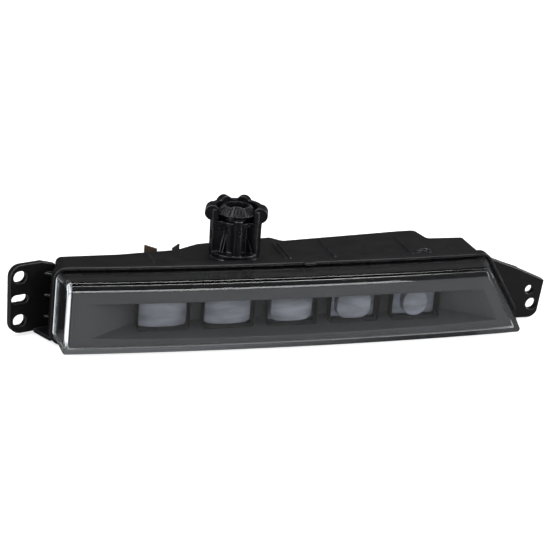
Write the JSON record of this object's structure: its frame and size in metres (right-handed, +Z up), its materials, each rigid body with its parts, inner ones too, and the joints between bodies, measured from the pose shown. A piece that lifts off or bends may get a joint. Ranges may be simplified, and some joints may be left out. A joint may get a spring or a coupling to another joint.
{
  "type": "daytime running light",
  "caption": "Long slant-ended vehicle lamp with a clear cover, a row of light blocks in a grey trough, fixing ears and a toothed aiming adjuster on top.",
  "frame": {"origin": "on the housing's flat underside, 30 mm behind the chord of the clear cover's lower front edge and half way along it", "axes": "+X along the lamp towards its slanted end, +Y to the back, +Z up along the adjuster"},
  "size_m": [0.2854, 0.0795, 0.0658],
  "materials": {
    "housing_plastic": "moulded black plastic, fine grain",
    "clear_cover": "clear polycarbonate, hard coated",
    "seal_rubber": "soft black rubber",
    "bezel_plastic": "satin dark grey",
    "screw_steel": "zinc plated",
    "socket_plastic": "moulded black",
    "terminal_brass": "tinned brass",
    "clip_steel": "brown phosphated spring steel",
    "wheel_plastic": "moulded black",
    "shaft_steel": "turned",
    "carrier_plastic": "moulded dark grey",
    "block_clear": "clear acrylic",
    "board_white": "white solder mask",
    "led_yellow": "phosphor under clear resin",
    "sink_aluminium": "die cast",
    "nut_plastic": "natural nylon"
  },
  "bodies": {
    "lamp": {"housing": "housing_plastic", "lens_cover": "clear_cover", "lens_seal": "seal_rubber", "bezel": "bezel_plastic", "bezel_screws": "screw_steel", "pivot_stud_left": "screw_steel", "pivot_stud_right": "screw_steel", "connector_socket": "socket_plastic", "connector_terminals": "terminal_brass", "connector_seal": "seal_rubber", "vent_cap": "seal_rubber", "rear_clip": "clip_steel"},
    "adjuster": {"adjuster_wheel": "wheel_plastic", "adjuster_shaft": "shaft_steel", "adjuster_seal": "seal_rubber"},
    "module": {"optic_carrier": "carrier_plastic", "optic_1": "block_clear", "optic_2": "block_clear", "optic_3": "block_clear", "optic_4": "block_clear", "optic_5": "block_clear", "led_board": "board_white", "led_1": "led_yellow", "led_2": "led_yellow", "led_3": "led_yellow", "led_4": "led_yellow", "led_5": "led_yellow", "heat_sink": "sink_aluminium", "module_screws": "screw_steel", "adjuster_nut": "nut_plastic"}
  },
  "joints": [
    {"name": "adjuster_turn", "type": "hinge", "parent": "lamp", "child": "adjuster", "pos_m": [-0.027, 0.006, 0.05], "axis": [0, 0, 1], "range_deg": [-360, 360]},
    {"name": "module_tilt", "type": "hinge", "parent": "lamp", "child": "module", "pos_m": [0, -0.004, 0.019], "axis": [1, 0, 0], "range_deg": [-2.5, 2.5]}
  ],
  "couplings": [
    {"joint": "module_tilt", "follows": "adjuster_turn", "ratio": -0.0069444}
  ]
}
